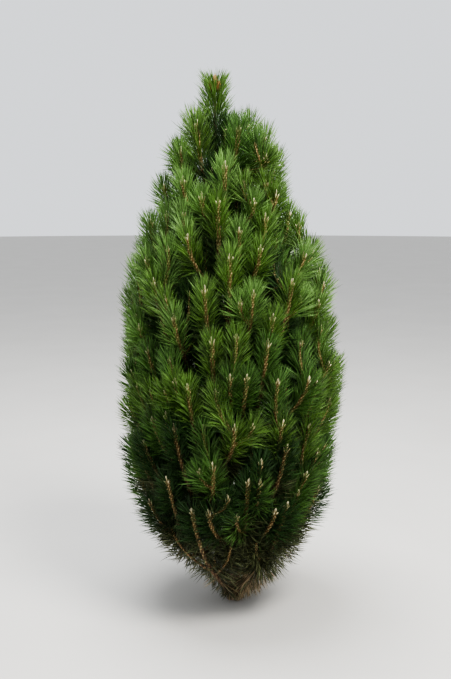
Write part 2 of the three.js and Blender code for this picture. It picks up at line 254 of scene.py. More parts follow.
class Line:
    """A limb's line: the cubic curve of four corners, walked by shares of its own length."""

    STEPS = 200

    def __init__(self, *corners):
        self.corners = np.array(corners)
        self.marks = np.linspace(0, 1, self.STEPS + 1)
        places = self.curve(self.marks)
        steps = np.linalg.norm(np.diff(places, axis=0), axis=1)
        self.walked = np.concatenate([[0.0], np.cumsum(steps)])
        self.length = self.walked[-1]

    def curve(self, marks):
        t = np.asarray(marks, float)[..., None]
        a, b, c, d = self.corners
        return (1 - t) ** 3 * a + 3 * (1 - t) ** 2 * t * b + 3 * (1 - t) * t**2 * c + t**3 * d

    def mark_at(self, share):
        return np.interp(np.asarray(share) * self.length, self.walked, self.marks)

    def at(self, share):
        return self.curve(self.mark_at(share))

    def along(self, share):
        """Unit directions: the curve's slope, from the steps between its corners."""
        t = self.mark_at(share)[..., None]
        a, b, c = np.diff(self.corners, axis=0)
        return unit((1 - t) ** 2 * a + 2 * (1 - t) * t * b + t**2 * c)


def sweep_line(start, heading, bud, arrival):
    """The curve from a start to a bud. Its inner corners stand ahead of the start by its
    heading, and back from the bud by its arrival."""
    span = np.linalg.norm(bud - start)
    return Line(start, start + SWEEP[0] * span * heading, bud - SWEEP[1] * span * arrival, bud)


def arrival_at(bearing, height):
    """A limb comes to its bud nearly upright, leaning out by less the higher it is."""
    lean = math.radians(TIP_LEAN * (1 - height / BUD_HEIGHT))
    return outward(bearing) * math.sin(lean) + np.array([0, 0, math.cos(lean)])


def limb_line(start, heading, bearing, height):
    """A limb to the bud of a bearing and height, a needle's reach inside the crown."""
    out = max(0.0, crown_reach(height, bearing) - NEEDLE_REACH)
    bud = trunk_point(height) + out * outward(bearing)
    return sweep_line(start, heading, bud, arrival_at(bearing, height))


def points_on(line):
    """Even points from end to end, up to SAMPLE_STEP apart."""
    count = math.ceil(line.length / SAMPLE_STEP)
    return line.at(np.arange(count + 1) / count)


def nearest(points, places):
    """How far each place is from the nearest of the points."""
    apart = places[:, None, :] - points[None, :, :]
    return np.sqrt((apart**2).sum(-1)).min(1)


class Limb:
    """A bough of a whorl, a shoot on one, or the leader. It has the name of its bough, and a
    bough keeps its side shoots."""

    def __init__(self, name, line, bearing, bud, rank, foot, bare=0.0):
        self.name = name
        self.line = line
        self.bearing = bearing
        self.bud = bud  # its height
        self.rank = rank
        self.foot = foot  # its radius where it leaves its bearer
        self.bare = bare
        self.shoots = []

    def frames(self, shares):
        """Places on its line, and three directions there: along it and two across."""
        along = self.line.along(shares)
        up = unit(np.cross(along, outward(self.bearing + 90)))
        return self.line.at(shares), along, np.cross(up, along), up


def grow_bough(whorl, level, bearing, bud, index):
    """A bough leaves the trunk by the spread of its height, every second one a bit higher."""
    at = whorl.at + (STAGGER if index % 2 else -STAGGER) + wobble(UNEVEN_AT)
    spread = math.radians(lerp(*SPREAD, at / BUD_HEIGHT))
    heading = outward(bearing) * math.sin(spread) + np.array([0, 0, math.cos(spread)])
    line = limb_line(trunk_point(at), heading, bearing, bud)
    name = f"whorl{level + 1}_{index + 1}"
    return Limb(name, line, bearing, bud, BOUGH, BOUGH_SHARE * trunk_radius(at), whorl.bare)


def gap_beside(bearings, index, hand):
    """The turn from a bough to the next one of its whorl on that hand."""
    following = bearings[(index + hand) % len(bearings)]
    return hand * (following - bearings[index]) % 360


def grow_side(bough, node, hand, drop, gap, others):
    """A side shoot swings its bud round by the first share that keeps it clear of the rest."""
    at = node + wobble(UNEVEN_NODE)
    apart = min(SIDE_BEARING_MOST, SIDE_BEARING_SHARE * gap)
    swing = hand * (apart + wobble(UNEVEN_BEARING))
    height = bough.bud - drop + wobble(UNEVEN_BUD)
    angle = math.radians(SIDE_ANGLE)
    across = outward(bough.bearing + 90 * hand)
    heading = bough.line.along(at) * math.cos(angle) + across * math.sin(angle)
    start = bough.line.at(at)
    for share in SIDE_SWINGS:
        bearing = bough.bearing + share * swing
        line = limb_line(start, heading, bearing, height)
        if (nearest(others, points_on(line)) > SIDE_ROOM).all():
            bough.shoots.append(Limb(bough.name, line, bearing, height, SIDE, SIDE_FOOT))
            return


def grow_crown():
    """Every bough of every whorl, and then their side shoots, in the same order."""
    whorls = [
        [grow_bough(whorl, level, *bud, index) for index, bud in enumerate(whorl.buds)]
        for level, whorl in enumerate(WHORLS)
    ]
    boughs = sum(whorls, [])
    for level, whorl in enumerate(whorls):
        bearings = [bough.bearing for bough in whorl]
        for index, bough in enumerate(whorl):
            turned = 1 if (level + index) % 2 else -1
            rest = [other for other in boughs if other is not bough]
            for node, side, drop in SIDES[: WHORLS[level].sides]:
                hand = side * turned
                lines = [limb.line for other in rest for limb in [other, *other.shoots]]
                others = np.concatenate([points_on(line) for line in lines])
                grow_side(bough, node, hand, drop, gap_beside(bearings, index, hand), others)
    return boughs


def grow_finer(nodes, places, bud, bearing, rank, slant):
    """A finer shoot to a bud, from the node that is well below it and nearest."""
    away = bud - places
    rise = away[:, 2]
    level = np.linalg.norm(away[:, :2], axis=1)
    fits = (rise > FINER_RISE[0]) & (rise < FINER_RISE[1]) & (level < slant * rise)
    if not fits.any():
        return None
    best = np.argmin(np.where(fits, rise + SIDEWAYS_COST * level, np.inf))
    bearer, share = nodes[best]
    along = bearer.line.along(share)
    across = away[best] - along * (away[best] @ along)
    angle = math.radians(SIDE_ANGLE)
    heading = along * math.cos(angle) + unit(across) * math.sin(angle)
    line = sweep_line(places[best], heading, bud, arrival_at(bearing, bud[2]))
    return Limb(bearer.name, line, bearing, bud[2], rank, FINER_FOOT)


def fill_crown(limbs):
    """The front buds first, and then buds drawn over the crown's surface, layer by layer. One
    grows where it has room to itself."""
    nodes = [(limb, share) for limb in limbs for share in FINER_NODES]
    places = np.array([limb.line.at(share) for limb, share in nodes])
    stretch = np.array([1, 1, RISE_COUNTS])
    buds = [limb.line.at(1.0) * stretch for limb in limbs]
    grown = []

    def try_bud(bearing, height, inward, room, rank, slant):
        """A shoot to a bud, if the bud has room and a limb can bear it."""
        reach = crown_reach(height, bearing) - NEEDLE_REACH - inward
        if reach < 0:
            return
        bud = trunk_point(height) + reach * outward(bearing)
        if nearest(np.array(buds), (bud * stretch)[None])[0] < room:
            return
        shoot = grow_finer(nodes, places, bud, bearing, rank, slant)
        if shoot:
            buds.append(bud * stretch)
            grown.append(shoot)

    for bearing, height in FRONT_BUDS:
        try_bud(bearing, height, 0, FRONT_ROOM, OUTER, FRONT_SLANT)
    for layer in LAYERS:
        for _ in range(layer.draws):
            height = rng.uniform(LOWEST_BUD, HIGHEST_BUD)
            bearing = rng.uniform(-180, 180)
            inward = rng.uniform(layer.inward, layer.deepest)
            room = layer.room * np.interp(height, *TOP_ROOM)
            try_bud(bearing, height, inward, room, layer.rank, FINER_SLANT)
    return grown


leader_line = Line(*trunk_point(BUD_HEIGHT * np.linspace(LEADER_FOOT, 1, 4)))
leader = Limb("leader", leader_line, -90, BUD_HEIGHT, LEADER, TRUNK_TIP_RADIUS)
boughs = grow_crown()
limbs = [limb for bough in boughs for limb in [bough, *bough.shoots]] + [leader]
limbs += fill_crown(limbs)


# Meshes


def add_piece(name, verts, faces, material, slot, nodes, smooth, **attributes):
    """A mesh from arrays of points and of faces of one size, with attributes of its points."""
    mesh = bpy.data.meshes.new(name)
    count, corners = faces.shape
    mesh.vertices.add(len(verts))
    mesh.vertices.foreach_set("co", verts.astype(np.float32).ravel())
    mesh.loops.add(count * corners)
    mesh.loops.foreach_set("vertex_index", faces.astype(np.int32).ravel())
    mesh.polygons.add(count)
    mesh.polygons.foreach_set("loop_start", np.arange(0, count * corners, corners, dtype=np.int32))
    mesh.polygons.foreach_set("use_smooth", np.full(count, smooth))
    for title, values in attributes.items():
        layer = mesh.attributes.new(title, "FLOAT", "POINT")
        layer.data.foreach_set("value", values.astype(np.float32))
    mesh.update(calc_edges=True)
    mesh.materials.append(material)
    piece = bpy.data.objects.new(name, mesh)
    bpy.context.scene.collection.objects.link(piece)
    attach(piece, "root")
    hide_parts(*nodes)


def tube(centres, across, up, radii):
    """A closed tube: at each row, a ring of points at radii from its centre, with the turn of
    each column, and a point in the middle of each end. Returns points and triangles."""
    rows, sides = radii.shape
    turns = np.arange(sides) * 2 * np.pi / sides
    ring = np.cos(turns)[None, :, None] * across[:, None, :]
    ring = ring + np.sin(turns)[None, :, None] * up[:, None, :]
    verts = (centres[:, None, :] + radii[..., None] * ring).reshape(-1, 3)
    verts = np.concatenate([verts, centres[:1], centres[-1:]])
    row, column = np.meshgrid(np.arange(rows - 1), np.arange(sides), indexing="ij")
    a = row * sides + column
    b = row * sides + (column + 1) % sides
    quads = np.stack([a, b, b + sides, a + sides], -1).reshape(-1, 4)
    faces = np.concatenate([quads[:, [0, 1, 2]], quads[:, [0, 2, 3]]])
    first, last = np.arange(sides), np.arange(sides) + (rows - 1) * sides
    foot = np.stack([np.full(sides, rows * sides), np.roll(first, -1), first], -1)
    head = np.stack([np.full(sides, rows * sides + 1), last, np.roll(last, -1)], -1)
    return verts, np.concatenate([faces, foot, head])


def joined(parts):
    """Many parts as one, each of points, faces and attributes, the faces' numbers moved on."""
    starts = np.cumsum([0] + [len(part[0]) for part in parts[:-1]])
    verts = np.concatenate([part[0] for part in parts])
    faces = np.concatenate([part[1] + start for part, start in zip(parts, starts)])
    return verts, faces, *[np.concatenate(extra) for extra in list(zip(*parts))[2:]]


def across_of(ways, aside):
    """Two unit directions across each way. No way runs along the direction aside."""
    side = unit(np.cross(ways, np.array(aside)))
    return side, np.cross(ways, side)


PLATE_JITTER = 0.38  # of a plate's cell
PLATE_ROWS = 4096  # of jitter, before it repeats
PLATE_RISE = 2.2  # how steeply a plate rises out of its cracks


def plates(turn, height, across, tall):
    """Bark plates on a tube that is unrolled to turns (0 to 1) and heights, so many across and
    so tall: the cells nearest to jittered points. Gives how far in from the edge of its cell
    each place is, 0 at the crack."""
    jitter = rng.uniform(-PLATE_JITTER, PLATE_JITTER, (across, PLATE_ROWS, 2))
    u, v = turn * across, height / tall
    column, row = np.floor(u).astype(int), np.floor(v).astype(int)
    gaps = []
    for step_u in (-1, 0, 1):
        for step_v in (-1, 0, 1):
            i, j = column + step_u, row + step_v
            nudge = jitter[i % across, j % PLATE_ROWS]
            gaps.append(np.hypot(i + 0.5 + nudge[..., 0] - u, j + 0.5 + nudge[..., 1] - v))
    gaps = np.sort(np.stack(gaps), axis=0)
    return np.clip((gaps[1] - gaps[0]) * PLATE_RISE, 0, 1)


# Finishes


class Wire:
    """An output of a material's nodes. Sums, products and powers of wires add Math nodes, and
    make() adds any other node and gives the wire from one of its outputs."""

    def __init__(self, tree, socket=None):
        self.tree = tree
        self.socket = socket

    def make(self, kind, output=0, settings=None, **inputs):
        """A node of a kind, with its settings and what its inputs take: a value or a wire. An
        input goes by its name, or by its number as _0, _1 and so on."""
        node = self.tree.nodes.new(kind)
        for name, value in (settings or {}).items():
            setattr(node, name, value)
        for name, value in inputs.items():
            key = int(name[1:]) if name[1:].isdigit() else name.replace("_", " ")
            if isinstance(value, Wire):
                self.tree.links.new(value.socket, node.inputs[key])
            else:
                node.inputs[key].default_value = value
        return Wire(self.tree, node.outputs[output] if node.outputs else None)

    def maths(self, operation, first, second):
        return self.make("ShaderNodeMath", settings={"operation": operation}, _0=first, _1=second)

    def __add__(self, other):
        return self.maths("ADD", self, other)

    def __radd__(self, other):
        return self.maths("ADD", other, self)

    def __sub__(self, other):
        return self.maths("SUBTRACT", self, other)

    def __rsub__(self, other):
        return self.maths("SUBTRACT", other, self)

    def __mul__(self, other):
        return self.maths("MULTIPLY", self, other)

    def __rmul__(self, other):
        return self.maths("MULTIPLY", other, self)

    def __pow__(self, other):
        return self.maths("POWER", self, other)


def new_finish(name):
    """An empty material, and the wire that its nodes are made from."""
    material = bpy.data.materials.new(name)
    material.use_nodes = True
    material.node_tree.nodes.clear()
    return material, Wire(material.node_tree)


def stored(wires, name):
    """What the mesh stores at each point by this name."""
    return wires.make("ShaderNodeAttribute", output="Fac", settings={"attribute_name": name})


def noise(wires, scale, detail, roughness=0.55):
    """Noise from 0 to 1 over the piece's own space."""
    place = wires.make("ShaderNodeTexCoord", output="Object")
    return wires.make(
        "ShaderNodeTexNoise", output="Fac", Vector=place, Scale=scale, Detail=detail,
        Roughness=roughness,
    )


def mixed(wires, share, first, second):
    """One colour turning to another: inputs 6 and 7 of a Mix node, and its output 2."""
    start, end = (ink if isinstance(ink, Wire) else (*ink, 1) for ink in (first, second))
    settings = {"data_type": "RGBA", "clamp_factor": True}
    return wires.make("ShaderNodeMix", output=2, settings=settings, _0=share, _6=start, _7=end)


def finished(wires, **inputs):
    """The one shader of a material, with its inputs, as the material's surface."""
    surface = wires.make("ShaderNodeBsdfPrincipled", **inputs)
    wires.make("ShaderNodeOutputMaterial", Surface=surface)


# Needles differ by chance between these ends of a look's colour. The lightest also stand in for
# glints on glossy needles, as painted highlights
DARKEST = 0.38  # of a look's colour, its darkest needles
LIGHTEST = 1.95  # times that colour, its lightest


def needle_finish(name, colour, palest=None, rarity=1):
    """Waxy needles: each has a random value of its own, and their green drifts from tuft to tuft.
    The light end of that value gives pale needles, partly a real difference and partly painted
    glints. A given colour for the palest is a painted highlight on worn needles and pale straw on
    dead ones. The rarer the palest ones, the higher the power that the value is raised to."""
    material, wires = new_finish(name)
    tint = stored(wires, "tint")
    drift = noise(wires, 9.0, 2.0)
    dark = tuple(DARKEST * part for part in colour)
    light = palest or tuple(LIGHTEST * part for part in colour)
    # The light end of this share is partly painted glint and partly paler needles
    share = (tint * 0.8 + drift * 0.8 - 0.3) ** rarity
    finished(
        wires,
        Base_Color=mixed(wires, share, dark, light),
        Roughness=0.42 + 0.16 * drift,
        Specular_IOR_Level=0.45,
    )
    return material


def bark_finish(name, crack, plate, lit, scale):
    """Bark: cracks, plates and their weathered tops, by the relief that the mesh stores."""
    material, wires = new_finish(name)
    relief = stored(wires, "relief")
    patch = noise(wires, scale, 4.0)
    grain = noise(wires, scale * 9, 3.0, 0.7)
    tops = mixed(wires, patch * 1.6 - 0.3, plate, lit)
    colour = mixed(wires, relief * 1.5 + grain * 0.5 - 0.35, crack, tops)
    bump = wires.make("ShaderNodeBump", Strength=0.5, Distance=0.0009, Height=grain + relief * 0.6)
    finished(
        wires, Base_Color=colour, Roughness=0.95 - 0.15 * patch, Normal=bump,
        Specular_IOR_Level=0.25,
    )
    return material


def twig_finish():
    """Twigs: tan where they are young, then red-brown, then grey-brown, with pale scales that
    bore needles."""
    material, wires = new_finish("twig_bark")
    age = stored(wires, "age")
    scale = stored(wires, "relief")
    grain = noise(wires, 420.0, 3.0, 0.7)
    wood = mixed(wires, age + grain * 0.5 - 0.25, (0.20, 0.115, 0.050), (0.115, 0.060, 0.040))
    oldest = mixed(wires, age - 1, wood, (0.060, 0.044, 0.033))
    colour = mixed(wires, scale * 1.8, oldest, (0.72, 0.57, 0.31))
    bump = wires.make("ShaderNodeBump", Strength=0.6, Distance=0.0006, Height=grain + scale)
    finished(
        wires, Base_Color=colour, Roughness=0.75 + 0.15 * grain, Normal=bump,
        Specular_IOR_Level=0.3,
    )
    return material


def bud_finish(name, foot, body, tip):
    """Buds: brown resinous scales at the foot and pale ones above, with a papery grain."""
    material, wires = new_finish(name)
    rise = stored(wires, "rise")
    grain = noise(wires, 650.0, 2.0, 0.6)
    low = mixed(wires, rise * 3.2 + grain - 0.75, foot, body)
    colour = mixed(wires, rise * 2.4 + grain - 1.6, low, tip)
    bump = wires.make("ShaderNodeBump", Strength=0.5, Distance=0.0005, Height=grain)
    finished(wires, Base_Color=colour, Roughness=0.5 + 0.2 * grain, Normal=bump)
    return material


# Trunk and boughs


masses = [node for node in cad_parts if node.startswith("foliage_")]
bough_nodes = [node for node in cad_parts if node.startswith("bough_")]

END_RELIEF = [0.5, 0.5]  # in the middle of a tube's two ends
TRUNK_ROWS = 520
TRUNK_ROW_GATHER = 1.25  # the power that gathers the rows towards the foot
TRUNK_COLUMNS = 72
COARSE_PLATES = (11, 0.021)  # how many round the trunk, and how tall each is
FINE_PLATES = (26, 0.009)
FINE_SHARE = 0.35  # of the relief
TRUNK_CRACK = 0.0022  # how deep the cracks are at the foot
CRACK_FADE = 0.75  # of that depth, lost on the way up
RING = 0.00036  # rings round the upper trunk, where scales stood
RING_RATE = 260  # radians for each metre up
RING_SWAY = 3
RINGS_ABOVE = 0.5


def make_trunk():
    """The trunk: at each height a ring whose radius is the trunk's, plus a flare with ROOTS
    ridges that dies away upwards, less cracks between bark plates that fade towards the tip,
    and above RINGS_ABOVE a sine of the height, which sways once round the trunk."""
    heights = BUD_HEIGHT * np.linspace(0, 1, TRUNK_ROWS) ** TRUNK_ROW_GATHER
    turns = np.arange(TRUNK_COLUMNS) / TRUNK_COLUMNS
    height, turn = np.meshgrid(heights, turns, indexing="ij")
    ridges = 1 - ROOT_RIDGE + ROOT_RIDGE * np.cos(2 * np.pi * ROOTS * turn)
    flare = FLARE * ridges * np.exp(-height / FLARE_HEIGHT)
    relief = (1 - FINE_SHARE) * plates(turn, height, *COARSE_PLATES)
    relief = relief + FINE_SHARE * plates(turn, height, *FINE_PLATES)
    depth = TRUNK_CRACK * (1 - CRACK_FADE * height / BUD_HEIGHT)
    waves = np.sin(height * RING_RATE + RING_SWAY * np.sin(turn * 2 * np.pi))
    rings = RING * waves * (height > RINGS_ABOVE)
    radii = trunk_radius(height) + flare - depth * (1 - relief) + rings
    across = np.tile([1.0, 0, 0], (TRUNK_ROWS, 1))
    up = np.tile([0, 1.0, 0], (TRUNK_ROWS, 1))
    verts, faces = tube(trunk_point(heights), across, up, radii)
    shade = np.concatenate([relief.ravel(), END_RELIEF])
    finish = bark_finish("trunk_bark", (0.055, 0.035, 0.022), (0.20, 0.145, 0.10),
                         (0.34, 0.27, 0.20), 22.0)
    add_piece("trunk_bark", verts, faces, finish, "trunk_bark", ["trunk"], True, relief=shade)


BOUGH_SIDES = 16
BOUGH_ROW = 0.004
BOUGH_PLATES = (5, 0.010)
BOUGH_CRACK = 0.0011
BOUGH_SUNK = 0.02  # how far its bark runs on into its mass
COLLAR = 0.35  # of its radius, how much thicker it is where it leaves the trunk
COLLAR_LENGTH = 0.03


def make_boughs():
    """Each bare bough: rings along its line, tapering, with a collar that dies away from the
    trunk, less the cracks between small plates of bark."""
    parts = []
    for bough in boughs:
        if not bough.bare:
            continue
        reach = bough.bare * bough.line.length
        rows = int((reach + BOUGH_SUNK) / BOUGH_ROW)
        outs = np.linspace(0, reach + BOUGH_SUNK, rows)
        centres, _, side, up = bough.frames(outs / bough.line.length)
        taper = bough.foot * lerp(1, BOUGH_TAPER, np.minimum(1, outs / reach))
        collar = COLLAR * bough.foot * np.exp(-outs / COLLAR_LENGTH)
        out, turn = np.meshgrid(outs, np.arange(BOUGH_SIDES) / BOUGH_SIDES, indexing="ij")
        relief = plates(turn, out, *BOUGH_PLATES)
        radii = (taper + collar)[:, None] - BOUGH_CRACK * (1 - relief)
        verts, faces = tube(centres, side, up, radii)
        parts.append((verts, faces, np.concatenate([relief.ravel(), END_RELIEF])))
    verts, faces, relief = joined(parts)
    finish = bark_finish("bough_bark", (0.06, 0.03, 0.018), (0.22, 0.12, 0.07),
                         (0.36, 0.23, 0.14), 40.0)
    add_piece("bough_bark", verts, faces, finish, "bough_bark", bough_nodes, True, relief=relief)


# Twigs


BUDLESS_BELOW = 0.50  # the height under which shoots are old and bear no bud
TWIG_SIDES = 8
TWIG_TIP = (0.0084, 0.0076, 0.0064, 0.0043)  # radius under the bud, by rank
WEAK_TIP = 0.0022  # of the shoots that bear no bud
TWIG_LAP = 0.01  # how far a twig's foot is inside the bare bough
TWIG_ROW = 0.026  # of a run and ROW_GROWTH together, from one row to the next
ROW_GROWTH = 0.15
SCALE_HEIGHT = 0.0052
SCALE_LEAST = 0.4  # of that height, by chance
SCALE_FADE = 0.30  # the run over which scales wear down
BROWN = (0.10, 0.12)  # the run where red-brown wood begins, and how long the tan takes to turn
GREY = (0.30, 0.30)  # the same for grey-brown wood


def twig_tube(limb):
    """A twig widens by the square root of its run. On every second row of its lattice every
    second point is a scale that stands out, less so on the older wood."""
    length = (1 - limb.bare) * limb.line.length + (TWIG_LAP if limb.bare else 0)
    rows = int(np.log1p(length / ROW_GROWTH) / TWIG_ROW)
    run = ROW_GROWTH * np.expm1(np.linspace(np.log1p(length / ROW_GROWTH), 0, rows))
    centres, _, side, up = limb.frames(1 - run / limb.line.length)
    foot = limb.foot * (BOUGH_TAPER if limb.bare else 1)
    tip = TWIG_TIP[limb.rank] if limb.bud > BUDLESS_BELOW else WEAK_TIP
    radius = tip + max(0, foot - tip) * np.sqrt(run / length)
    row, column = np.meshgrid(np.arange(rows), np.arange(TWIG_SIDES), indexing="ij")
    scale = (row % 2 == 0) & ((row // 2 + column) % 2 == 0) & (row > 1) & (row < rows - 1)
    worn_down = np.exp(-run / SCALE_FADE)[:, None]
    relief = scale * worn_down * rng.uniform(SCALE_LEAST, 1, scale.shape)
    verts, faces = tube(centres, side, up, radius[:, None] + SCALE_HEIGHT * relief)
    age = sum(np.clip((run - start) / over, 0, 1) for start, over in (BROWN, GREY))
    ages = np.concatenate([np.repeat(age, TWIG_SIDES), age[:1], age[-1:]])
    return verts, faces, ages, np.concatenate([relief.ravel(), [0, 0]])


def make_twigs():
    """The twigs of the boughs and side shoots as one piece, and the finer ones as another."""
    finish = twig_finish()
    groups = {"twigs_boughs": [BOUGH, SIDE], "twigs_shoots": [OUTER, INNER]}
    for name, ranks in groups.items():
        parts = [twig_tube(limb) for limb in limbs if limb.rank in ranks]
        verts, faces, age, relief = joined(parts)
        add_piece(name, verts, faces, finish, "bough_bark", masses, True, age=age, relief=relief)


# Buds


BUD_SIDES = 6
BUD_PROFILE = np.array([(0, 0.7), (0.2, 1.0), (0.7, 0.75), (0.93, 0.3)])
BUD_ASIDE = (0.31, 0.95, 0.1)
BUD_SIZE = (1.4, 1.3, 1.15, 0.85)  # by rank
LEADER_BUD_SIZE = 3.0

# Buds of size 1
BUD_LENGTH = (0.020, 0.030)
BUD_RADIUS = 0.0056
BUD_SUNK = 0.003  # into the twig, at any size
SIDE_BUDS = 4
SIDE_BUD_ASIDE = (0.9, 0.1, 0.2)
SIDE_BUD_SHARE = 0.65  # of the middle bud's length
SIDE_BUD_RADIUS = 0.0036
SIDE_BUD_OUT = 0.0045
SIDE_BUD_SUNK = 0.006  # into the twig, at any size
SIDE_BUD_LEAN = 0.35
START_TURNS = 6.28  # a side bud's first turn is up to this, by chance


def bud_tube(foot, way, length, radius):
    """A bud: the profile's (rise, width) rings along its way, closed at its tip."""
    rise, width = BUD_PROFILE.T
    centres = foot + way * (rise * length)[:, None]
    radii = np.repeat((radius * width)[:, None], BUD_SIDES, 1)
    across, up = (np.tile(side, (len(rise), 1)) for side in across_of(way, BUD_ASIDE))
    verts, faces = tube(centres, across, up, radii)
    verts[-1] = foot + way * length
    return verts, faces, np.concatenate([np.repeat(rise, BUD_SIDES), [0, 1]])


def bud_cluster(limb, size):
    """A long middle bud, and a ring of short ones that lean out round its foot."""
    tip = limb.line.at(1.0)
    way = limb.line.along(1.0)
    length = size * rng.uniform(*BUD_LENGTH)
    parts = [bud_tube(tip - BUD_SUNK * way, way, length, size * BUD_RADIUS)]
    side, up = across_of(way, SIDE_BUD_ASIDE)
    for turn in rng.uniform(0, 1) * START_TURNS + np.arange(SIDE_BUDS) * 2 * np.pi / SIDE_BUDS:
        out = side * math.cos(turn) + up * math.sin(turn)
        lean = unit(way + SIDE_BUD_LEAN * out)
        foot = tip + out * SIDE_BUD_OUT * size - SIDE_BUD_SUNK * way
        parts.append(bud_tube(foot, lean, SIDE_BUD_SHARE * length, size * SIDE_BUD_RADIUS))
    return parts


def make_buds():
    """The buds of all shoots as one piece, and the leader's big red-brown ones as another."""
    pale = bud_finish("pale_buds", (0.30, 0.17, 0.08), (0.62, 0.50, 0.28), (0.80, 0.72, 0.50))
    budding = [limb for limb in limbs if limb is not leader and limb.bud > BUDLESS_BELOW]
    parts = [part for limb in budding for part in bud_cluster(limb, BUD_SIZE[limb.rank])]
    verts, faces, rise = joined(parts)
    add_piece("buds", verts, faces, pale, "needles", masses, True, rise=rise)
    red = bud_finish("leader_bud", (0.14, 0.045, 0.022), (0.27, 0.085, 0.035), (0.36, 0.15, 0.07))
    verts, faces, rise = joined(bud_cluster(leader, LEADER_BUD_SIZE))
    add_piece("leader_bud", verts, faces, red, "trunk_bark", ["trunk"], True, rise=rise)


# Needles


# The colours of each look, from the darkest tone to the lightest: shaded and lit copies of one
# colour. The tone that a spray gets is painted shade or light, and partly a difference by chance
NEEDLE_LOOKS = {
    "fresh": [(0.029, 0.066, 0.019), (0.076, 0.150, 0.038), (0.102, 0.182, 0.044),
              (0.122, 0.214, 0.062)],
    "grown": [(0.017, 0.042, 0.012), (0.034, 0.070, 0.021), (0.052, 0.088, 0.030)],
    "old": [(0.020, 0.034, 0.012), (0.048, 0.054, 0.022)],
    "worn": [(0.058, 0.074, 0.029), (0.096, 0.124, 0.046)],
    "dead": [(0.17, 0.120, 0.070)],
}
# The palest of the worn and dead needles, and how rare they are. On worn needles these are painted
# highlights, sparse glints of light on dark needles. On dead ones they are the pale straw of dry
# needles
PALEST_AND_GLINTS = {"worn": ((0.22, 0.245, 0.115), 2.0), "dead": ((0.50, 0.38, 0.22), 1.5)}

# A spray's painted light, from 0 to 1, picks its tone: painted shade low down and on the shoots
# inside the crown, painted light higher up
PAINTED_LIGHT_BY_BUD = ([0.3, 0.7, 1.1, 1.5, 1.8, 2.1], [0.02, 0.17, 0.60, 1.0, 0.95, 0.55])
HEIGHT_SHARE = 0.6  # how much of a spray's light comes from its bud's height, the rest by chance
INNER_PAINTED_LIGHT = 0.3  # of that, for shoots inside the crown
OUTER_PAINTED_LIGHT = 0.15  # the least, for the others

WORN_BY_HEIGHT = ([0.30, 0.50, 0.75, 0.95], [1.0, 0.85, 0.25, 0.0])  # the share of sprays
OLD_KEPT = ([0.25, 0.45], [1.0, 0.55])  # the share of the oldest needles, by height
DEAD_BELOW = 0.34
DEAD_SHARE = 0.24  # of the oldest needles there
DRY_BOUGH = "whorl1_2"
DRY_SHARE = 0.85  # of the oldest needles on it

# How far needles near the ground may reach from the trunk's line: at the ground, and more for
# each metre up
FOOT_REACH = (0.070, 1.1)
UNEVEN_REACH = (0.75, 1.15)
ROOT_CLEARANCE = 0.012  # above the ground
TIP_CLEARANCE = (0.004, 0.02)
OVERHANG = 0.03  # of the crown's size, that needles may reach past the solids
SLACK = 0.006
NEEDLE_ASIDE = (0.37, 0.21, 0.9)


def needles_of(limb, zone):
    """Roots and tips of a zone's needles: pairs that go round by the golden turn, leaning from
    the shoot by the angle of their run, and sagging more the older and the lower they are."""
    length = limb.line.length
    far = min(zone.far, (1 - limb.bare) * length - FOOT_GAP)
    count = int((far - zone.near) * zone.per_metre * CROWDING[limb.rank] / 2)
    if count < 2:
        return np.zeros((0, 3)), np.zeros((0, 3))
    steps = (np.arange(count) + rng.uniform(0, 1, count)) / count
    run = lerp(zone.near, far, steps ** (LEADER_GATHER if limb is leader else 1))
    place, along, side, up = limb.frames(1 - run / length)
    turn = np.radians(np.arange(count) * GOLDEN_TURN + rng.normal(0, UNEVEN_TURN, count))
    place, along, side, up, turn, run = (
        np.repeat(values, 2, axis=0) for values in (place, along, side, up, turn, run)
    )
    count *= 2
    apart = np.where(np.arange(count) % 2, PAIR_TURN, -PAIR_TURN)
    turn = turn + apart + rng.normal(0, UNEVEN_PAIR, count)
    out = np.cos(turn)[:, None] * side + np.sin(turn)[:, None] * up
    least = LEADER_LEAST if limb is leader else 0
    angle = np.interp(run, *ANGLE_BY_RUN) * np.interp(limb.bud, *WIDER_BY_BUD)
    angle = np.maximum(least, angle) + rng.normal(0, UNEVEN_ANGLE, count)
    angle = np.radians(np.minimum(angle, WIDEST))
    way = along * np.cos(angle)[:, None] + out * np.sin(angle)[:, None]
    low = np.clip(LOW_SAG - LOW_SAG_FALL * place[:, 2], 0, LOW_SAG_MOST) * (zone.name != "fresh")
    way[:, 2] -= (zone.sag + low) * rng.uniform(*UNEVEN_SAG, count)
    size = NEEDLE * np.interp(run, *LENGTH_BY_RUN) * np.interp(limb.bud, *LENGTH_BY_BUD)
    size = size * rng.uniform(*UNEVEN_LENGTH, count)
    root = place + out * NEEDLE_SEAT
    return root, root + unit(way) * size[:, None]


def kept_needles(limb, zone, low, high):
    """A zone's needles, less those that would root in the ground or reach out of the crown."""
    root, tip = needles_of(limb, zone)
    tip[:, 2] = np.maximum(tip[:, 2], rng.uniform(*TIP_CLEARANCE, len(tip)))
    keep = (root[:, 2] > ROOT_CLEARANCE) & (tip > low).all(1) & (tip < high).all(1)
    if limb.name != DRY_BOUGH:
        out = np.linalg.norm((tip - trunk_point(tip[:, 2]))[:, :2], axis=1)
        reach = FOOT_REACH[0] + FOOT_REACH[1] * tip[:, 2] + np.maximum(0, tip[:, 1])
        keep &= out < reach * rng.uniform(*UNEVEN_REACH, len(out))
    if zone.name == "old":
        keep &= rng.uniform(0, 1, len(root)) < np.interp(root[:, 2], *OLD_KEPT)
    return root[keep], tip[keep]


def dead_ones(limb, zone, root):
    """Which needles are dry: some of the oldest ones near the ground, and most on one bough."""
    if zone.name != "old":
        return np.zeros(len(root), bool)
    share = DRY_SHARE if limb.name == DRY_BOUGH else DEAD_SHARE
    return (root[:, 2] < DEAD_BELOW) & (rng.uniform(0, 1, len(root)) < share)


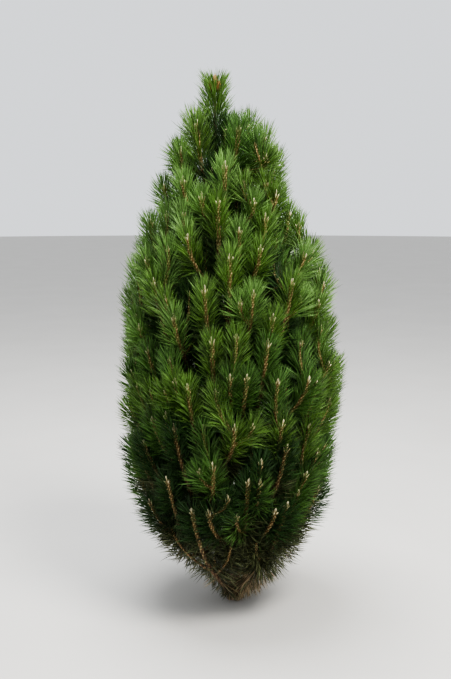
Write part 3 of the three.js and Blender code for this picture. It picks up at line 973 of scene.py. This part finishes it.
def look_of(limb, zone, root):
    """A spray's look, worn or its own year's, and its tone. The tone is painted light and shade:
    partly by chance, and darker, as painted shade, low down and for shoots inside the crown.
    Fresh needles under a bud aren't worn."""
    middle = root[:, 2].mean() if len(root) else 0.0
    worn_share = np.interp(middle, *WORN_BY_HEIGHT)
    if zone.name == "fresh" and limb.bud > BUDLESS_BELOW:
        worn_share = 0
    look = "worn" if rng.uniform(0, 1) < worn_share else zone.name
    # Painted light by the bud's height, the rest by chance; shoots inside the crown get painted
    # shade
    light = lerp(rng.uniform(0, 1), np.interp(limb.bud, *PAINTED_LIGHT_BY_BUD), HEIGHT_SHARE)
    light = light * INNER_PAINTED_LIGHT if limb.rank == INNER else max(light, OUTER_PAINTED_LIGHT)
    tones = len(NEEDLE_LOOKS[look])
    return look, min(tones - 1, int(light * tones))


def needle_mesh(roots, tips):
    """Each needle: a root, a ring of three points where it is widest, and a tip. The ring
    stands a little off the straight line, so that the needle bends."""
    count = len(roots)
    way = tips - roots
    size = np.linalg.norm(way, axis=1, keepdims=True)
    way = way / size
    side, up = across_of(way, NEEDLE_ASIDE)
    bend = rng.normal(0, NEEDLE_BEND, (count, 2)) * size
    middle = roots + NEEDLE_WIDEST_AT * size * way + bend[:, :1] * side + bend[:, 1:] * up
    start = rng.uniform(0, 2 * np.pi, count)
    verts = np.empty((count, 5, 3))
    verts[:, 0] = roots
    verts[:, 4] = tips
    for corner in range(3):
        turn = start + corner * 2 * np.pi / 3
        ring = np.cos(turn)[:, None] * side + np.sin(turn)[:, None] * up
        verts[:, 1 + corner] = middle + NEEDLE_RADIUS * ring
    pattern = np.array([(0, 2, 1), (0, 3, 2), (0, 1, 3), (4, 1, 2), (4, 2, 3), (4, 3, 1)])
    faces = (np.arange(count)[:, None, None] * 5 + pattern).reshape(-1, 3)
    return verts.reshape(-1, 3), faces, np.repeat(rng.uniform(0, 1, count), 5)


def make_needles():
    """Every zone of every limb is a spray of one tone, its painted light or shade, and each piece
    holds the sprays of one tone. The dry needles of all sprays are a piece of their own."""
    sprays = {look: [[] for _ in tones] for look, tones in NEEDLE_LOOKS.items()}
    low, high = np.array(cad_box)
    edge = OVERHANG * (high - low) + SLACK
    for limb in limbs:
        for zone in ZONES:
            root, tip = kept_needles(limb, zone, low - edge, high + edge)
            dead = dead_ones(limb, zone, root)
            look, tone = look_of(limb, zone, root)
            sprays[look][tone].append((root[~dead], tip[~dead]))
            sprays["dead"][0].append((root[dead], tip[dead]))
    for look, tones in sprays.items():
        for number, pairs in enumerate(tones):
            roots, tips = (np.concatenate(ends) for ends in zip(*pairs))
            name = f"needles_{look}_{number + 1}"
            finish = needle_finish(name, NEEDLE_LOOKS[look][number], *PALEST_AND_GLINTS.get(look, ()))
            verts, faces, tint = needle_mesh(roots, tips)
            add_piece(name, verts, faces, finish, "needles", masses, False, tint=tint)


make_trunk()
make_boughs()
make_twigs()
make_buds()
make_needles()


# Floor, light and camera


FLOOR_SIDES = 96
FLOOR_RADIUS = 40
FLOOR_LEVEL = -0.0006  # just under the trunk's foot


def floor_finish():
    """Plain pale ground with faint clouds."""
    material, wires = new_finish("floor")
    cloud = noise(wires, 1.3, 3.0)
    colour = mixed(wires, cloud, (0.50, 0.485, 0.46), (0.56, 0.545, 0.52))
    finished(wires, Base_Color=colour, Roughness=0.85 + 0.1 * cloud, Specular_IOR_Level=0.2)
    return material


def make_floor():
    """A round floor: one flat face with its corners on a circle round the foot of the plant."""
    turns = np.linspace(0, 2 * np.pi, FLOOR_SIDES, endpoint=False)
    level = np.full(FLOOR_SIDES, FLOOR_LEVEL)
    rim = np.stack([FLOOR_RADIUS * np.cos(turns), FLOOR_RADIUS * np.sin(turns), level], -1)
    mesh = bpy.data.meshes.new("floor")
    mesh.from_pydata(rim.tolist(), [], [list(range(FLOOR_SIDES))])
    mesh.materials.append(floor_finish())
    floor = bpy.data.objects.new("floor", mesh)
    bpy.context.scene.collection.objects.link(floor)


def add_light(name, place, aim, size, power, colour):
    """A round lamp at a place, turned to its aim."""
    lamp = bpy.data.lights.new(name, "AREA")
    lamp.shape = "DISK"
    lamp.size = size
    lamp.energy = power
    lamp.color = colour
    holder = bpy.data.objects.new(name, lamp)
    holder.location = place
    holder.rotation_euler = (Vector(aim) - Vector(place)).to_track_quat("-Z", "Y").to_euler()
    bpy.context.scene.collection.objects.link(holder)


def make_light():
    """Soft light all round, a key light from the front right and a wide one from above."""
    world = bpy.data.worlds.new("studio")
    world.use_nodes = True
    background = world.node_tree.nodes["Background"]
    background.inputs["Color"].default_value = (0.90, 0.93, 0.97, 1)
    background.inputs["Strength"].default_value = 0.92
    bpy.context.scene.world = world
    bpy.context.scene.view_settings.look = "AgX - High Contrast"
    add_light("key", (2.4, -2.8, 5.8), (0, 0, 1.2), 2.4, 420, (1.0, 0.98, 0.93))
    add_light("top", (-0.8, 0.4, 6.5), (0, 0, 1.0), 3.2, 380, (0.96, 0.98, 1.0))


FRAME_PIXELS = 679  # the picture's longer side
FOCAL_PIXELS = 850
FILM = 36
EYE = (-0.043, -3.60, 1.769)
TILT = 9.32  # down from level


def make_camera():
    """The camera at the photo's eye, with its lens from the focal length in pixels."""
    lens = bpy.data.cameras.new("camera")
    lens.sensor_width = FILM
    lens.lens = FOCAL_PIXELS / FRAME_PIXELS * FILM
    camera = bpy.data.objects.new("camera", lens)
    camera.location = EYE
    camera.rotation_euler = (math.radians(90 - TILT), 0, 0)
    bpy.context.scene.collection.objects.link(camera)
    bpy.context.scene.camera = camera


make_floor()
make_light()
make_camera()
